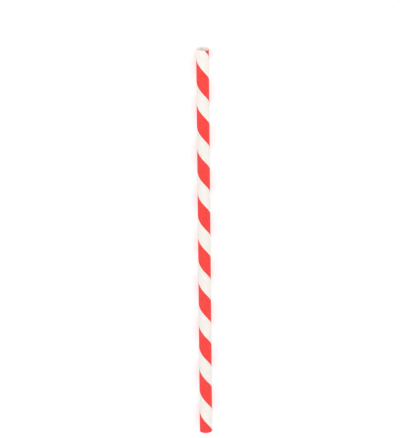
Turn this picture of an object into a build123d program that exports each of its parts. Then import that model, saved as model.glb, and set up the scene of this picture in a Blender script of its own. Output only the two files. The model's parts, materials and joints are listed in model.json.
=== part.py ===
from build123d import *
import math
import os

# Paper drinking straw: a tube of glued paper cut square at both ends, with a red stripe
# that winds round it as the paper does. It lies on its side along X with its mouth end
# at +X. The origin is on the axis at mid-length, +Z is up, and it touches the table
# along Z = -outer_radius.

# Sizes of the tube, in millimetres
straw_length = 197.0
outer_diameter = 6.0
ply_thickness = 0.115
ply_count = 3
print_thickness = 0.05

# Winding of the paper: how far one turn climbs along the tube, and the share of the
# outer strip that is printed red
lead = 22.7
print_share = 0.512

# Where the red begins at the foot end, in degrees from +Y towards +Z
print_start = -6.0

# Radii of the printed and the plain outside, and of the bore
outer_radius = outer_diameter / 2
paper_radius = outer_radius - print_thickness
inner_radius = paper_radius - ply_count * ply_thickness
print_angle = 360 * print_share

# The stripe is made as equal stretches, each screwed on from the one before. A stretch
# turns less than the stripe leaves free, so it never closes round on itself.
total_turn = 360 * straw_length / lead
stretch_count = math.ceil(total_turn / (360 - print_angle))
stretch_length = straw_length / stretch_count
stretch_turn = total_turn / stretch_count
foot = Plane.YZ.offset(-straw_length / 2)
stretches = [
    Location((i * stretch_length, 0, 0), (-i * stretch_turn, 0, 0))
    for i in range(stretch_count)
]

# Tube of white paper, open from end to end
with BuildPart() as paper_tube:
    with BuildSketch(foot):
        Circle(paper_radius)
        Circle(inner_radius, mode=Mode.SUBTRACT)
    extrude(amount=straw_length)
paper_tube.part.label = "paper_tube"

# Straight path of the first stretch, and the left-handed helix that turns what is swept
with BuildLine() as axis:
    Line(foot.origin, foot.offset(stretch_length).origin)

with BuildLine() as winding:
    Helix(
        lead,
        stretch_length,
        outer_radius,
        center=foot.origin,
        direction=foot.z_dir,
        lefthand=True,
    )

# Sector that the red covers, deeper and wider than the print so that it cuts it clean
with BuildPart() as print_band:
    with BuildSketch(foot):
        with BuildLine():
            floor = CenterArc((0, 0), inner_radius, print_start, print_angle)
            roof = CenterArc((0, 0), outer_diameter, print_start, print_angle)
            Line(floor @ 0, roof @ 0)
            Line(floor @ 1, roof @ 1)
        make_face()
    sweep(path=axis.line, binormal=winding.line.edge())

# First stretch of the print, cut from a thin sleeve so that both its faces are round
with BuildPart() as stripe_stretch:
    with BuildSketch(foot):
        Circle(outer_radius)
        Circle(paper_radius, mode=Mode.SUBTRACT)
    extrude(amount=stretch_length)
    add(print_band.part, mode=Mode.INTERSECT)

# Red stripe, one helical ribbon from end to end of the straw
with BuildPart() as red_stripe:
    with Locations(*stretches):
        add(stripe_stretch.part)
red_stripe.part.label = "red_stripe"

os.makedirs("parts", exist_ok=True)
export_step(paper_tube.part, "parts/paper_tube.step")
export_step(red_stripe.part, "parts/red_stripe.step")
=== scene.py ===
"""Paper drinking straw, spiral wound and printed with a red stripe, lying on a pale table."""

import json
import math

import bmesh
import bpy
from bpy.props import FloatProperty, FloatVectorProperty, IntProperty, PointerProperty
from mathutils import Matrix, Vector


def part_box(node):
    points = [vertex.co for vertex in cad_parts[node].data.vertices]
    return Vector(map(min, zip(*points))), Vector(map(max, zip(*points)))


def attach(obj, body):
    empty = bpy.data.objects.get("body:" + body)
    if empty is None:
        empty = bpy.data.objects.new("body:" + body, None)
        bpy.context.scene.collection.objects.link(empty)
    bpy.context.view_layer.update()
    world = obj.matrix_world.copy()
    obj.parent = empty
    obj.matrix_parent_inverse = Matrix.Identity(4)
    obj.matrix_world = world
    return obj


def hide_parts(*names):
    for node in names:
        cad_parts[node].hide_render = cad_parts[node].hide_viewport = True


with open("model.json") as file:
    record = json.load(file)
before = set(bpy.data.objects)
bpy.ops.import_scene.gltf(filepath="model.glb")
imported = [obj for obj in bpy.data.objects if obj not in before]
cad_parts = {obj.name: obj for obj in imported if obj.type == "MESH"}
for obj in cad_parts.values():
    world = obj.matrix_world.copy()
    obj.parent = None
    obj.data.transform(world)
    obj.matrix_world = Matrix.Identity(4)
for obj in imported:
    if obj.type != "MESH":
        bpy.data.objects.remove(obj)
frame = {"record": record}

bl_info = {
    "name": "Paper Drinking Straw",
    "version": (1, 0, 0),
    "blender": (4, 5, 0),
    "location": "3D View > Sidebar > Straw",
    "description": "Winds, prints and lights a striped paper drinking straw",
    "category": "Object",
}

MM = 0.001

# Sizes that the frame gives, in metres
FOOT_CORNER, MOUTH_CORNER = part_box("red_stripe")
LENGTH = MOUTH_CORNER.x - FOOT_CORNER.x
OUTER_RADIUS = (MOUTH_CORNER.z - FOOT_CORNER.z) / 2
TABLE_HEIGHT = FOOT_CORNER.z
BORE_RADIUS = MM * next(
    mount["dims"]["r_mm"] for mount in frame["record"]["mounts"] if mount["name"] == "bore"
)
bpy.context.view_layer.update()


def linear(code):
    """An sRGB hex colour as linear RGB."""
    channels = (int(code[i:i + 2], 16) / 255 for i in (1, 3, 5))
    return tuple(c / 12.92 if c <= 0.04045 else ((c + 0.055) / 1.055) ** 2.4 for c in channels)


def opaque(colour):
    """A linear colour as a node's colour socket takes it."""
    return (*colour, 1.0)


class StrawSizes(bpy.types.PropertyGroup):
    """Sizes of the wound paper and its print"""

    lead: FloatProperty(
        name="Lead",
        description="How far one turn of the paper climbs along the straw",
        default=22.7 * MM, min=5 * MM, unit="LENGTH",
    )
    print_share: FloatProperty(
        name="Print share",
        description="Share of the outer strip's width that is printed red",
        default=0.512, min=0.05, max=0.9, subtype="FACTOR",
    )
    print_start: FloatProperty(
        name="Print start",
        description="Angle at which the red begins at the foot end",
        default=math.radians(-6.0), subtype="ANGLE",
    )
    ply_count: IntProperty(
        name="Plies",
        description="Strips of paper glued one over the other",
        default=3, min=1, max=5,
    )
    ply_thickness: FloatProperty(
        name="Ply thickness",
        description="Thickness of one strip of paper with its glue",
        default=0.13 * MM, min=0.03 * MM, unit="LENGTH",
    )
    seam_gap: FloatProperty(
        name="Seam gap",
        description="Gap between the edges of a strip from turn to turn",
        default=0.1 * MM, min=0.02 * MM, unit="LENGTH",
    )
    print_relief: FloatProperty(
        name="Print relief",
        description="How far the ink stands proud of the plain paper beside it",
        default=0.012 * MM, min=0, unit="LENGTH",
    )
    ink_depth: FloatProperty(
        name="Ink depth",
        description="Thickness of the printed ribbon",
        default=0.05 * MM, min=0.01 * MM, unit="LENGTH",
    )
    rim_round: FloatProperty(
        name="Rim rounding",
        description="How far the knife rounds the cut edges over",
        default=0.03 * MM, min=0.005 * MM, unit="LENGTH",
    )


class StrawColours(bpy.types.PropertyGroup):
    """Colours of the paper and the ink"""

    paper: FloatVectorProperty(
        name="Paper",
        description="Colour of the bleached paper",
        default=linear("#F8F3EC"), size=3, subtype="COLOR",
    )
    ink: FloatVectorProperty(
        name="Ink",
        description="Colour of the red print",
        default=linear("#F63834"), size=3, subtype="COLOR",
    )


def add_node(tree, kind, inputs=None, **settings):
    """Add a node with its settings. An input takes a plain value or another node's output."""
    made = tree.nodes.new(kind)
    for name, value in settings.items():
        setattr(made, name, value)
    for name, value in (inputs or {}).items():
        if isinstance(value, bpy.types.NodeSocket):
            tree.links.new(value, made.inputs[name])
        else:
            made.inputs[name].default_value = value
    return made


# Winding

# Twist from one cross-section to the next, and the angle from one column to the next
STEP_TURN = math.radians(9)
COLUMN_TURN = math.radians(4)

# Slope of every small step in the outline, outside and in the bore, so that no two points
# coincide
SLOPE = 0.012 * MM / OUTER_RADIUS
BORE_SLOPE = 1.5 * SLOPE

# Where the inner strip's seam runs, as an angle back from the red's upper edge, its depth
# as a share of the ply, and how much more angle the gap takes there than on the outside
BORE_SEAM_TURN = 0.6
BORE_SEAM_DEPTH = 0.8
BORE_SEAM_SPREAD = 1.15

# Dent over the middle strip's seam: its place as a share of the way across the white, its
# depth, and half its width at the floor and at the rim
DENT_PLACE = 0.55
DENT_DEPTH = 0.014 * MM
DENT_FLOOR = 0.15 * MM
DENT_RIM = 0.45 * MM

# Edge of a cut end, rounded over: share of the wall, and share of the rounding's height
ROUNDED_EDGE = ((0.0, 0.0), (0.03, 0.6), (0.09, 1.0))

# Furrow at a glued joint: half its width as a share of the wall, and its floor as a share
# of the rounding's height
JOINT_HALF_WIDTH = 0.03
JOINT_FLOOR = 0.3

# The print's cut end is flat: its bed, a row inside it and its face
PRINT_ROWS = ((0.0, 0.0), (0.3, 0.0), (1.0, 0.0))

# Points nearer than this are one, and smooth shading stops at edges sharper than this
TOUCHING = 0.001 * MM
SHARP_EDGE = math.radians(50)


def wind_tree():
    """Tree that draws a cut end out into a straight wall, caps it and winds it up."""
    tree = bpy.data.node_groups.new("Wind along the straw", "GeometryNodeTree")
    for name, kind in (
        ("Cut end", "NodeSocketGeometry"),
        ("Length", "NodeSocketFloat"),
        ("Rim rounding", "NodeSocketFloat"),
        ("Lead", "NodeSocketFloat"),
        ("Steps", "NodeSocketInt"),
        ("Material", "NodeSocketMaterial"),
    ):
        tree.interface.new_socket(name, in_out="INPUT", socket_type=kind)
    tree.interface.new_socket("Wound", in_out="OUTPUT", socket_type="NodeSocketGeometry")
    given = add_node(tree, "NodeGroupInput").outputs

    # Straight wall: the outline of the cut end carried up an upright line
    half = add_node(tree, "ShaderNodeMath", {0: given["Length"], 1: 0.5}, operation="MULTIPLY")
    reach = add_node(
        tree,
        "ShaderNodeMath",
        {0: half.outputs[0], 1: given["Rim rounding"]},
        operation="SUBTRACT",
    )
    top = add_node(tree, "ShaderNodeCombineXYZ", {"Z": reach.outputs[0]})
    bottom = add_node(
        tree, "ShaderNodeVectorMath", {0: top.outputs[0], "Scale": -1.0}, operation="SCALE"
    )
    line = add_node(
        tree,
        "GeometryNodeCurvePrimitiveLine",
        {"Start": bottom.outputs[0], "End": top.outputs[0]},
    )
    count = add_node(tree, "ShaderNodeMath", {0: given["Steps"], 1: 1.0}, operation="ADD")
    path = add_node(
        tree, "GeometryNodeResampleCurve", {"Curve": line.outputs[0], "Count": count.outputs[0]}
    )
    faces = add_node(tree, "GeometryNodeInputMeshEdgeNeighbors")
    rim = add_node(
        tree,
        "FunctionNodeCompare",
        {2: faces.outputs[0], 3: 1},
        data_type="INT",
        operation="EQUAL",
    )
    outline = add_node(
        tree, "GeometryNodeMeshToCurve", {"Mesh": given["Cut end"], "Selection": rim.outputs[0]}
    )
    wall = add_node(
        tree,
        "GeometryNodeCurveToMesh",
        {"Curve": path.outputs[0], "Profile Curve": outline.outputs[0]},
    )

    # Mouth and foot: the cut end itself, and its mirror copy
    mouth = add_node(
        tree,
        "GeometryNodeTransform",
        {"Geometry": given["Cut end"], "Translation": top.outputs[0]},
    )
    foot = add_node(
        tree,
        "GeometryNodeTransform",
        {
            "Geometry": given["Cut end"],
            "Translation": bottom.outputs[0],
            "Scale": (1.0, 1.0, -1.0),
        },
    )
    joined = add_node(tree, "GeometryNodeJoinGeometry")
    for part in (wall, mouth, foot):
        tree.links.new(part.outputs[0], joined.inputs[0])
    closed = add_node(
        tree,
        "GeometryNodeMergeByDistance",
        {"Geometry": joined.outputs[0], "Distance": TOUCHING},
    )

    # Wind it left-handed about the upright line, then lay it along the straw's axis
    place = add_node(tree, "GeometryNodeInputPosition")
    height = add_node(tree, "ShaderNodeSeparateXYZ", {0: place.outputs[0]})
    climb = add_node(
        tree, "ShaderNodeMath", {0: height.outputs["Z"], 1: half.outputs[0]}, operation="ADD"
    )
    turns = add_node(
        tree, "ShaderNodeMath", {0: climb.outputs[0], 1: given["Lead"]}, operation="DIVIDE"
    )
    turn = add_node(
        tree, "ShaderNodeMath", {0: turns.outputs[0], 1: -math.tau}, operation="MULTIPLY"
    )
    turned = add_node(
        tree,
        "ShaderNodeVectorRotate",
        {"Vector": place.outputs[0], "Angle": turn.outputs[0]},
        rotation_type="Z_AXIS",
    )
    wound = add_node(
        tree,
        "GeometryNodeSetPosition",
        {"Geometry": closed.outputs[0], "Position": turned.outputs[0]},
    )
    laid = add_node(
        tree,
        "GeometryNodeTransform",
        {"Geometry": wound.outputs[0], "Rotation": (math.pi / 2, 0.0, math.pi / 2)},
    )
    solid = add_node(tree, "GeometryNodeRealizeInstances", {"Geometry": laid.outputs[0]})
    finished = add_node(
        tree,
        "GeometryNodeSetMaterial",
        {"Geometry": solid.outputs[0], "Material": given["Material"]},
    )
    add_node(tree, "NodeGroupOutput", {"Wound": finished.outputs[0]})
    return tree


def level(knots, angle):
    """Height at an angle of a line that runs straight from knot to knot, round the circle."""
    ring = sorted((a % math.tau, h) for a, h in knots)
    before, after = ring[-1], ring[0]
    ring = [(before[0] - math.tau, before[1]), *ring, (after[0] + math.tau, after[1])]
    angle %= math.tau
    for (a, low), (b, high) in zip(ring, ring[1:]):
        if a <= angle <= b:
            return low + (high - low) * (angle - a) / (b - a)
    raise ValueError("no stretch of the outline holds this angle")


def columns_between(start, end, knots):
    """Even angles from start to end, with every knot's own angle among them."""
    fixed = sorted({start, end} | {a for a in knots if start < a < end})
    columns = []
    for a, b in zip(fixed, fixed[1:]):
        parts = max(1, round((b - a) / COLUMN_TURN))
        columns += [a + (b - a) * i / parts for i in range(parts)]
    return columns + [end]


def cut_end(name, columns, inside, outside, rows, closed):
    """Mesh of one cut end, seen from the mouth. A row is a share of the wall and its height."""
    form = bmesh.new()
    grid = []
    for angle in columns:
        inner, outer = inside(angle), outside(angle)
        grid.append([
            form.verts.new((
                (inner + (outer - inner) * share) * math.cos(angle),
                (inner + (outer - inner) * share) * math.sin(angle),
                height,
            ))
            for share, height in rows
        ])
    pairs = list(zip(grid, grid[1:])) + ([(grid[-1], grid[0])] if closed else [])
    for one, two in pairs:
        for i in range(len(rows) - 1):
            form.faces.new((one[i], one[i + 1], two[i + 1], two[i]))
    mesh = bpy.data.meshes.new(name)
    form.to_mesh(mesh)
    form.free()
    return mesh


def wound_piece(name, end, material, sizes):
    """Wind a cut end up along the whole straw and return it as a plain mesh object."""
    tree = bpy.data.node_groups.get("Wind along the straw") or wind_tree()
    maker = bpy.data.objects.new(name + "_maker", end)
    bpy.context.collection.objects.link(maker)
    modifier = maker.modifiers.new("Wind", "NODES")
    modifier.node_group = tree
    values = {
        "Length": LENGTH,
        "Rim rounding": sizes.rim_round,
        "Lead": sizes.lead,
        "Steps": math.ceil(LENGTH / sizes.lead * math.tau / STEP_TURN),
        "Material": material,
    }
    for item in tree.interface.items_tree:
        if item.name in values:
            modifier[item.identifier] = values[item.name]
    evaluated = maker.evaluated_get(bpy.context.evaluated_depsgraph_get())
    mesh = bpy.data.meshes.new_from_object(evaluated)
    bpy.data.objects.remove(maker)
    bpy.data.meshes.remove(end)

    form = bmesh.new()
    form.from_mesh(mesh)
    if any(len(edge.link_faces) != 2 for edge in form.edges):
        raise RuntimeError(name + " is not closed")
    bmesh.ops.recalc_face_normals(form, faces=form.faces)
    form.to_mesh(mesh)
    form.free()
    mesh.shade_smooth()
    mesh.set_sharp_from_angle(angle=SHARP_EDGE)
    mesh.name = name
    piece = bpy.data.objects.new(name, mesh)
    bpy.context.collection.objects.link(piece)
    return piece


# Materials

# Patches of the patterns in millimetres, as length along the strip and width across it.
# Real fibres are 0.03 mm wide: they are drawn at 0.15 mm, and the pulp's grain on the cut
# ends at 0.12 mm, so that they show
CLOUDS = (3.0, 1.6)
FIBRES = (1.8, 0.15)
PULP_GRAIN = (0.12, 0.12)
INK_MOTTLE = (1.6, 0.9)
INK_SPECKS = (0.3, 0.16)

# How high the clouds and the mottle stand in relief, and the relief of the fibres and of
# the pulp's fuzz on the cut ends against it
RELIEF = 0.02 * MM
FIBRE_RELIEF = 0.6
FUZZ_RELIEF = 1.5

# Width of the denser line of ink along the stripe's edges
EDGE_LINE = 0.2 * MM

# Light that the board adds for the camera alone, so that it shows as pure white
BOARD_GLOW = 0.48

# Share of a rim's rounding over which the look turns from wall to cut end, how far pulp
# hides the paper's own colour there, and how much rougher it is
CUT_RISE = 0.4
PULP_COVER = 0.8
PULP_ROUGHNESS = 0.25

# Colours that follow neither the paper's setting nor the ink's
WHITE = (1.0, 1.0, 1.0)
# Bore: lighter and pinker than the paper, a painted glow for light through the red-printed wall
BORE_PAPER_WITH_PAINTED_GLOW = linear("#FDF3ED")
PALE_PULP = linear("#F7F2EA")
GREY_PULP = linear("#E9E1D6")
GLUE = linear("#CDC0B0")
BOARD = linear("#CCCCCC")

# Thick pulp against the paper, and ink on a fibre against the ink, as factors of red,
# green and blue. Ink that the paper drank goes these shares of the way to white
THICK_PULP = (0.955, 0.945, 0.925)
DENSE_INK = (0.9, 0.72, 0.78)
DRUNK_INK = (0.1, 0.035, 0.03)

# Sockets of a Mix node for colours, by their place, because its sockets for numbers have
# the same names
FACTOR, FIRST, SECOND, MIXED = 0, 6, 7, 2


def new_material(name):
    """An empty material with its shader and output."""
    material = bpy.data.materials.new(name)
    material.use_nodes = True
    tree = material.node_tree
    tree.nodes.clear()
    shader = add_node(tree, "ShaderNodeBsdfPrincipled")
    add_node(tree, "ShaderNodeOutputMaterial", {"Surface": shader.outputs["BSDF"]})
    return material, tree, shader


def strip_place(tree, sizes):
    """The point unwound, so that the strip of paper runs straight along X, in millimetres."""
    place = add_node(tree, "ShaderNodeTexCoord").outputs["Object"]
    along = add_node(tree, "ShaderNodeSeparateXYZ", {0: place}).outputs["X"]
    turn = add_node(
        tree,
        "ShaderNodeMath",
        {0: along, 1: math.tau / sizes.lead, 2: math.pi * LENGTH / sizes.lead},
        operation="MULTIPLY_ADD",
    )
    straight = add_node(
        tree,
        "ShaderNodeVectorRotate",
        {"Vector": place, "Angle": turn.outputs[0]},
        rotation_type="X_AXIS",
    )
    return add_node(
        tree,
        "ShaderNodeVectorMath",
        {0: straight.outputs[0], "Scale": 1 / MM},
        operation="SCALE",
    ).outputs[0]


def blotches(tree, place, patch, detail, seed):
    """Noise with patches of this length along the strip and width across, in millimetres."""
    length, width = patch
    stretched = add_node(
        tree,
        "ShaderNodeMapping",
        {"Vector": place, "Scale": (1 / length, 1 / width, 1 / width)},
    )
    return add_node(
        tree,
        "ShaderNodeTexNoise",
        {"Vector": stretched.outputs[0], "W": seed, "Scale": 1.0, "Detail": detail},
        noise_dimensions="4D",
    ).outputs[0]


def end_mask(tree, sizes):
    """1 on the two cut ends, 0 on the wall."""
    place = add_node(tree, "ShaderNodeTexCoord").outputs["Object"]
    along = add_node(tree, "ShaderNodeSeparateXYZ", {0: place}).outputs["X"]
    reach = add_node(tree, "ShaderNodeMath", {0: along}, operation="ABSOLUTE").outputs[0]
    wall_end = LENGTH / 2 - sizes.rim_round
    cut_start = wall_end + CUT_RISE * sizes.rim_round
    return add_node(
        tree, "ShaderNodeMapRange", {"Value": reach, "From Min": wall_end, "From Max": cut_start}
    ).outputs[0]


def laid_over(tree, below, above, pattern, start, full, most):
    """A colour laid over another, from none where the pattern starts to the most at full."""
    cover = add_node(
        tree,
        "ShaderNodeMapRange",
        {"Value": pattern, "From Min": start, "From Max": full, "To Max": most},
    ).outputs[0]
    return add_node(
        tree,
        "ShaderNodeMix",
        {FACTOR: cover, FIRST: below, SECOND: opaque(above)},
        data_type="RGBA",
    ).outputs[MIXED]


def kraft_paper(sizes, colours):
    """Bleached kraft paper, machine calendered and spiral wound with white glue.

    To the eye it is off-white and nearly matt, with faint clouds where the pulp lies
    thicker and short hair-fine fibres that run with the strip. The knife leaves the ends
    duller and fuzzy, with a darker hairline of glue between the plies.
    """
    material, tree, shader = new_material("bleached_kraft_paper_calendered_and_spiral_wound")
    place = strip_place(tree, sizes)
    clouds = blotches(tree, place, CLOUDS, detail=3.0, seed=1.0)
    fibres = blotches(tree, place, FIBRES, detail=2.0, seed=2.0)
    grain = blotches(tree, place, PULP_GRAIN, detail=2.0, seed=3.0)
    ends = end_mask(tree, sizes)

    # Clouds and fibres are a shade darker and warmer than the paper
    shade = tuple(c * k for c, k in zip(colours.paper, THICK_PULP))
    colour = laid_over(
        tree, opaque(colours.paper), shade, clouds, start=0.35, full=0.65, most=0.75
    )
    colour = laid_over(tree, colour, shade, fibres, start=0.54, full=0.68, most=0.6)

    # How far out in the wall the point lies, counted in plies from the bore
    radial = add_node(
        tree, "ShaderNodeVectorMath", {0: place, 1: (0, 1, 1)}, operation="MULTIPLY"
    )
    radius = add_node(
        tree, "ShaderNodeVectorMath", {0: radial.outputs[0]}, operation="LENGTH"
    ).outputs["Value"]
    plies = add_node(
        tree,
        "ShaderNodeMapRange",
        {
            "Value": radius,
            "From Min": BORE_RADIUS / MM,
            "From Max": OUTER_RADIUS / MM,
            "To Max": float(sizes.ply_count),
        },
    ).outputs[0]

    # The bore's face shows less of the clouds, and is painted lighter and pinker: painted light
    # that stands in for the light the red print lets through the wall
    painted_bore_glow = add_node(
        tree,
        "ShaderNodeMapRange",
        {"Value": plies, "From Min": 0.1, "From Max": 0.3, "To Min": 0.85, "To Max": 0.0},
    ).outputs[0]
    colour = add_node(
        tree,
        "ShaderNodeMix",
        {FACTOR: painted_bore_glow, FIRST: colour, SECOND: opaque(BORE_PAPER_WITH_PAINTED_GLOW)},
        data_type="RGBA",
    ).outputs[MIXED]

    # Cut ends: fuzzy grey-white pulp
    pale_to_grey = add_node(
        tree, "ShaderNodeMapRange", {"Value": grain, "From Min": 0.4, "From Max": 0.6}
    ).outputs[0]
    pulp = add_node(
        tree,
        "ShaderNodeMix",
        {FACTOR: pale_to_grey, FIRST: opaque(PALE_PULP), SECOND: opaque(GREY_PULP)},
        data_type="RGBA",
    ).outputs[MIXED]
    pulpy = add_node(
        tree, "ShaderNodeMath", {0: ends, 1: PULP_COVER}, operation="MULTIPLY"
    ).outputs[0]
    colour = add_node(
        tree,
        "ShaderNodeMix",
        {FACTOR: pulpy, FIRST: colour, SECOND: pulp},
        data_type="RGBA",
    ).outputs[MIXED]

    # Hairline of glue at each joint, by how many plies away the nearest joint is
    near = add_node(tree, "ShaderNodeMath", {0: plies, 1: 0.5}, operation="ADD").outputs[0]
    near = add_node(tree, "ShaderNodeMath", {0: near}, operation="FRACT").outputs[0]
    near = add_node(tree, "ShaderNodeMath", {0: near, 1: 0.5}, operation="SUBTRACT").outputs[0]
    near = add_node(tree, "ShaderNodeMath", {0: near}, operation="ABSOLUTE").outputs[0]
    glue = add_node(
        tree,
        "ShaderNodeMapRange",
        {"Value": near, "From Min": 0.04, "From Max": 0.14, "To Min": 0.8, "To Max": 0.0},
    ).outputs[0]
    glue = add_node(tree, "ShaderNodeMath", {0: glue, 1: ends}, operation="MULTIPLY").outputs[0]
    colour = add_node(
        tree,
        "ShaderNodeMix",
        {FACTOR: glue, FIRST: colour, SECOND: opaque(GLUE)},
        data_type="RGBA",
    ).outputs[MIXED]
    tree.links.new(colour, shader.inputs["Base Color"])

    # Duller on the clouds, and duller still on the cut ends
    wall_rough = add_node(
        tree,
        "ShaderNodeMapRange",
        {"Value": clouds, "From Min": 0.3, "From Max": 0.7, "To Min": 0.56, "To Max": 0.66},
    ).outputs[0]
    rough = add_node(
        tree,
        "ShaderNodeMath",
        {0: ends, 1: PULP_ROUGHNESS, 2: wall_rough},
        operation="MULTIPLY_ADD",
    ).outputs[0]
    tree.links.new(rough, shader.inputs["Roughness"])
    shader.inputs["Specular IOR Level"].default_value = 0.3

    # Thin white paper lets light through its wall, which brightens the bore
    shader.inputs["Subsurface Weight"].default_value = 0.4
    shader.inputs["Subsurface Radius"].default_value = (1.0, 0.9, 0.75)
    shader.inputs["Subsurface Scale"].default_value = 0.6 * MM

    # Relief of the clouds and fibres, and of the pulp's grain on the cut ends
    height = add_node(
        tree, "ShaderNodeMath", {0: fibres, 1: FIBRE_RELIEF, 2: clouds}, operation="MULTIPLY_ADD"
    ).outputs[0]
    fuzz = add_node(tree, "ShaderNodeMath", {0: grain, 1: ends}, operation="MULTIPLY").outputs[0]
    height = add_node(
        tree, "ShaderNodeMath", {0: fuzz, 1: FUZZ_RELIEF, 2: height}, operation="MULTIPLY_ADD"
    ).outputs[0]
    bump = add_node(
        tree, "ShaderNodeBump", {"Height": height, "Strength": 0.35, "Distance": RELIEF}
    )
    tree.links.new(bump.outputs[0], shader.inputs["Normal"])
    return material


def flexo_ink(sizes, colours):
    """Food-safe water-based red ink, flexo printed on the outer strip of paper.

    To the eye it is a clear warm red with a dull satin, slightly mottled where the paper
    drank more of it. The paper's fibres show through as relief and as a few pale specks,
    and the printing plate squeezed a denser line of ink along both edges.
    """
    material, tree, shader = new_material("water_based_red_ink_flexo_printed_on_paper")
    place = strip_place(tree, sizes)
    mottle = blotches(tree, place, INK_MOTTLE, detail=3.0, seed=4.0)
    fibres = blotches(tree, place, FIBRES, detail=2.0, seed=2.0)
    specks = blotches(tree, place, INK_SPECKS, detail=0.0, seed=5.0)

    # Ink that the paper drank is paler, and ink that lies on a fibre is denser
    pale = tuple(c + (1 - c) * k for c, k in zip(colours.ink, DRUNK_INK))
    dense = tuple(c * k for c, k in zip(colours.ink, DENSE_INK))
    colour = laid_over(tree, opaque(colours.ink), pale, mottle, start=0.35, full=0.65, most=0.8)
    colour = laid_over(tree, colour, dense, fibres, start=0.56, full=0.7, most=0.3)

    # Denser line inside both edges of the stripe, by the angle from the stripe's middle
    point = add_node(tree, "ShaderNodeSeparateXYZ", {0: place}).outputs
    angle = add_node(
        tree, "ShaderNodeMath", {0: point["Z"], 1: point["Y"]}, operation="ARCTAN2"
    ).outputs[0]
    half_stripe = math.pi * sizes.print_share
    apart = add_node(
        tree,
        "ShaderNodeMath",
        {0: angle, 1: sizes.print_start + half_stripe},
        operation="SUBTRACT",
    ).outputs[0]
    apart = add_node(
        tree, "ShaderNodeMath", {0: apart, 1: math.pi, 2: -math.pi}, operation="WRAP"
    ).outputs[0]
    apart = add_node(tree, "ShaderNodeMath", {0: apart}, operation="ABSOLUTE").outputs[0]
    inner_edge = half_stripe - EDGE_LINE / OUTER_RADIUS
    colour = laid_over(
        tree, colour, dense, apart, start=inner_edge, full=half_stripe, most=0.6
    )

    # A few pale specks where a fibre took no ink
    colour = laid_over(tree, colour, colours.paper, specks, start=0.8, full=0.86, most=0.4)
    tree.links.new(colour, shader.inputs["Base Color"])

    # Duller where the paper drank more of the ink
    rough = add_node(
        tree,
        "ShaderNodeMapRange",
        {"Value": mottle, "From Min": 0.3, "From Max": 0.7, "To Min": 0.44, "To Max": 0.56},
    ).outputs[0]
    tree.links.new(rough, shader.inputs["Roughness"])
    shader.inputs["Specular IOR Level"].default_value = 0.3

    # Relief of the mottle, and of the paper's fibres under the ink
    height = add_node(
        tree, "ShaderNodeMath", {0: fibres, 1: FIBRE_RELIEF, 2: mottle}, operation="MULTIPLY_ADD"
    ).outputs[0]
    bump = add_node(
        tree, "ShaderNodeBump", {"Height": height, "Strength": 0.3, "Distance": RELIEF}
    )
    tree.links.new(bump.outputs[0], shader.inputs["Normal"])
    return material


def seen(tree, strength, otherwise=0.0):
    """One strength where the camera looks, also in gloss or glass, and another as light."""
    path = add_node(tree, "ShaderNodeLightPath").outputs
    ray = add_node(
        tree,
        "ShaderNodeMath",
        {0: path["Is Camera Ray"], 1: path["Is Glossy Ray"]},
        operation="MAXIMUM",
    ).outputs[0]
    ray = add_node(
        tree, "ShaderNodeMath", {0: ray, 1: path["Is Transmission Ray"]}, operation="MAXIMUM"
    ).outputs[0]
    return add_node(
        tree, "ShaderNodeMapRange", {"Value": ray, "To Min": otherwise, "To Max": strength}
    ).outputs[0]


def white_board():
    """Matt white board. The camera sees it as pure white, and the straw's shadow on it."""
    material, tree, shader = new_material("matt_white_board")
    shader.inputs["Base Color"].default_value = opaque(BOARD)
    shader.inputs["Roughness"].default_value = 0.9
    shader.inputs["Specular IOR Level"].default_value = 0.1
    shader.inputs["Emission Color"].default_value = opaque(WHITE)
    tree.links.new(seen(tree, BOARD_GLOW), shader.inputs["Emission Strength"])
    return material


# Operators


def sizes_and_colours(context):
    """The scene's two groups of settings."""
    return context.scene.straw_sizes, context.scene.straw_colours


class STRAW_OT_wind_paper(bpy.types.Operator):
    """Wind the plies of white paper into the straw's tube"""

    bl_idname = "straw.wind_paper"
    bl_label = "Wind the Paper"

    def execute(self, context):
        sizes, colours = sizes_and_colours(context)
        start = sizes.print_start
        end = start + math.tau * sizes.print_share
        paper = OUTER_RADIUS - sizes.print_relief
        printed = OUTER_RADIUS - sizes.ink_depth
        ply = paper - sizes.ply_thickness
        gap = sizes.seam_gap / OUTER_RADIUS

        # Outside: the red's bed, the outer strip's seam just before it, and the shallow
        # dent that the seam of the strip below leaves in the white
        outside = {
            start: printed,
            end: printed,
            end + SLOPE: paper,
            start - gap - SLOPE + math.tau: paper,
            start - gap + math.tau: ply,
            start - SLOPE + math.tau: ply,
        }
        dent = end + DENT_PLACE * (start + math.tau - end)
        for side in (-1, 1):
            outside[dent + side * DENT_RIM / OUTER_RADIUS] = paper
            outside[dent + side * DENT_FLOOR / OUTER_RADIUS] = paper - DENT_DEPTH

        # Bore: the inner strip's seam
        seam = end - BORE_SEAM_TURN
        notch = BORE_RADIUS + BORE_SEAM_DEPTH * sizes.ply_thickness
        seam_end = seam + BORE_SEAM_SPREAD * gap
        inside = {
            seam: BORE_RADIUS,
            seam + BORE_SLOPE: notch,
            seam_end + BORE_SLOPE: notch,
            seam_end + 2 * BORE_SLOPE: BORE_RADIUS,
        }

        # Share of the wall and height: rounded rims, and a fine furrow at each glued joint
        rim = sizes.rim_round
        rows = [(share, height * rim) for share, height in ROUNDED_EDGE]
        for joint in range(1, sizes.ply_count):
            share = joint / sizes.ply_count
            rows += [
                (share - JOINT_HALF_WIDTH, rim),
                (share, JOINT_FLOOR * rim),
                (share + JOINT_HALF_WIDTH, rim),
            ]
        rows += [(1 - share, height * rim) for share, height in reversed(ROUNDED_EDGE)]

        columns = columns_between(start, start + math.tau, {*outside, *inside})[:-1]
        end_mesh = cut_end(
            "paper_end",
            columns,
            lambda angle: level(inside.items(), angle),
            lambda angle: level(outside.items(), angle),
            rows,
            closed=True,
        )
        piece = wound_piece("wound_paper_tube", end_mesh, kraft_paper(sizes, colours), sizes)
        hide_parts("paper_tube")
        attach(piece, "root")
        return {"FINISHED"}


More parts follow.
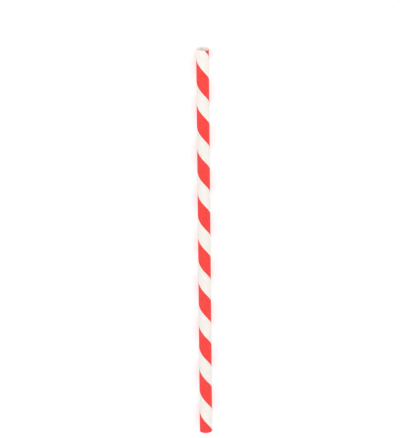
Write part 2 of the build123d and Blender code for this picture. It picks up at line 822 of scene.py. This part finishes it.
class STRAW_OT_print_stripe(bpy.types.Operator):
    """Print the red stripe that winds up the straw"""

    bl_idname = "straw.print_stripe"
    bl_label = "Print the Stripe"

    def execute(self, context):
        sizes, colours = sizes_and_colours(context)
        start = sizes.print_start
        end = start + math.tau * sizes.print_share
        low = OUTER_RADIUS - sizes.print_relief
        bed = OUTER_RADIUS - sizes.ink_depth
        outside = {start: low, start + SLOPE: OUTER_RADIUS, end - SLOPE: OUTER_RADIUS, end: low}
        end_mesh = cut_end(
            "print_end",
            columns_between(start, end, outside),
            lambda angle: bed,
            lambda angle: level(outside.items(), angle),
            PRINT_ROWS,
            closed=False,
        )
        piece = wound_piece("printed_red_stripe", end_mesh, flexo_ink(sizes, colours), sizes)
        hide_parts("red_stripe")
        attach(piece, "root")
        return {"FINISHED"}


# Stage, in metres

BOARD_HALF_SIDE = 2.0

# Strength of the room where the camera sees it, and as a light
ROOM_SEEN = 1.0
ROOM_LIGHT = 0.79

# Each lamp's power in watts, the width of its disk, and its place
LAMPS = {
    "key_lamp": (26.0, 2.4, (1.4, 2.3, 1.5)),
    "mouth_lamp": (44.0, 2.4, (2.5, -1.7, 1.5)),
}

# The camera looks down at the straw from its mouth end, from well back. Its lens is in
# millimetres, as a camera's is
CAMERA_TILT = math.radians(23.0)
CAMERA_ROLL = math.radians(0.555)
CAMERA_DISTANCE = 2334 * MM
CAMERA_AIM = Vector((13.55, 1.93, 3.0)) * MM
FOCAL_LENGTH = 405.8


def lay_board(collection):
    """The white board that the straw lies on."""
    mesh = bpy.data.meshes.new("board")
    corners = ((-1, -1), (1, -1), (1, 1), (-1, 1))
    mesh.from_pydata(
        [(x * BOARD_HALF_SIDE, y * BOARD_HALF_SIDE, TABLE_HEIGHT) for x, y in corners],
        [],
        [(0, 1, 2, 3)],
    )
    mesh.materials.append(white_board())
    floor = bpy.data.objects.new("board", mesh)
    collection.objects.link(floor)


def white_room():
    """World that lights softly from all sides and that the camera sees as white."""
    world = bpy.data.worlds.new("white_room")
    world.use_nodes = True
    tree = world.node_tree
    tree.nodes.clear()
    sky = add_node(
        tree,
        "ShaderNodeBackground",
        {"Color": opaque(WHITE), "Strength": seen(tree, ROOM_SEEN, ROOM_LIGHT)},
    )
    add_node(tree, "ShaderNodeOutputWorld", {"Surface": sky.outputs[0]})
    return world


def hang_lamp(collection, name):
    """One round soft lamp that shines at the straw's middle."""
    watts, width, spot = LAMPS[name]
    lamp = bpy.data.lights.new(name, "AREA")
    lamp.energy = watts
    lamp.shape = "DISK"
    lamp.size = width
    placed = bpy.data.objects.new(name, lamp)
    facing = Vector(spot).to_track_quat("Z", "Y").to_matrix().to_4x4()
    placed.matrix_world = Matrix.Translation(spot) @ facing
    collection.objects.link(placed)


def aim_camera(collection):
    """The camera, tilted towards the mouth and rolled a little."""
    back = Vector((math.sin(CAMERA_TILT), 0.0, math.cos(CAMERA_TILT)))
    level_up = Vector((math.cos(CAMERA_TILT), 0.0, -math.sin(CAMERA_TILT)))
    level_right = Vector((0.0, -1.0, 0.0))
    up = level_up * math.cos(CAMERA_ROLL) + level_right * math.sin(CAMERA_ROLL)
    right = level_right * math.cos(CAMERA_ROLL) - level_up * math.sin(CAMERA_ROLL)
    lens = bpy.data.cameras.new("camera")
    lens.lens = FOCAL_LENGTH
    camera = bpy.data.objects.new("camera", lens)
    facing = Matrix((right, up, back)).transposed().to_4x4()
    camera.matrix_world = Matrix.Translation(CAMERA_AIM + back * CAMERA_DISTANCE) @ facing
    collection.objects.link(camera)
    return camera


class STRAW_OT_set_stage(bpy.types.Operator):
    """Lay the straw on a white board under soft lamps and set the camera"""

    bl_idname = "straw.set_stage"
    bl_label = "Set the Stage"

    def execute(self, context):
        scene = context.scene
        lay_board(context.collection)
        scene.world = white_room()
        for name in LAMPS:
            hang_lamp(context.collection, name)
        scene.camera = aim_camera(context.collection)
        scene.view_settings.view_transform = "Standard"
        return {"FINISHED"}


class STRAW_PT_panel(bpy.types.Panel):
    """Sizes, colours and steps of the paper straw"""

    bl_idname = "STRAW_PT_panel"
    bl_label = "Paper Straw"
    bl_space_type = "VIEW_3D"
    bl_region_type = "UI"
    bl_category = "Straw"

    def draw(self, context):
        for group in sizes_and_colours(context):
            box = self.layout.box()
            for name in group.__annotations__:
                box.prop(group, name)
        for operator in OPERATORS:
            self.layout.operator(operator.bl_idname)


OPERATORS = (STRAW_OT_wind_paper, STRAW_OT_print_stripe, STRAW_OT_set_stage)
CLASSES = (StrawSizes, StrawColours, *OPERATORS, STRAW_PT_panel)


def register():
    for cls in CLASSES:
        bpy.utils.register_class(cls)
    bpy.types.Scene.straw_sizes = PointerProperty(type=StrawSizes)
    bpy.types.Scene.straw_colours = PointerProperty(type=StrawColours)


def unregister():
    del bpy.types.Scene.straw_colours
    del bpy.types.Scene.straw_sizes
    for cls in reversed(CLASSES):
        bpy.utils.unregister_class(cls)


def main():
    register()
    bpy.ops.straw.wind_paper()
    bpy.ops.straw.print_stripe()
    bpy.ops.straw.set_stage()


if __name__ == "__main__":
    main()
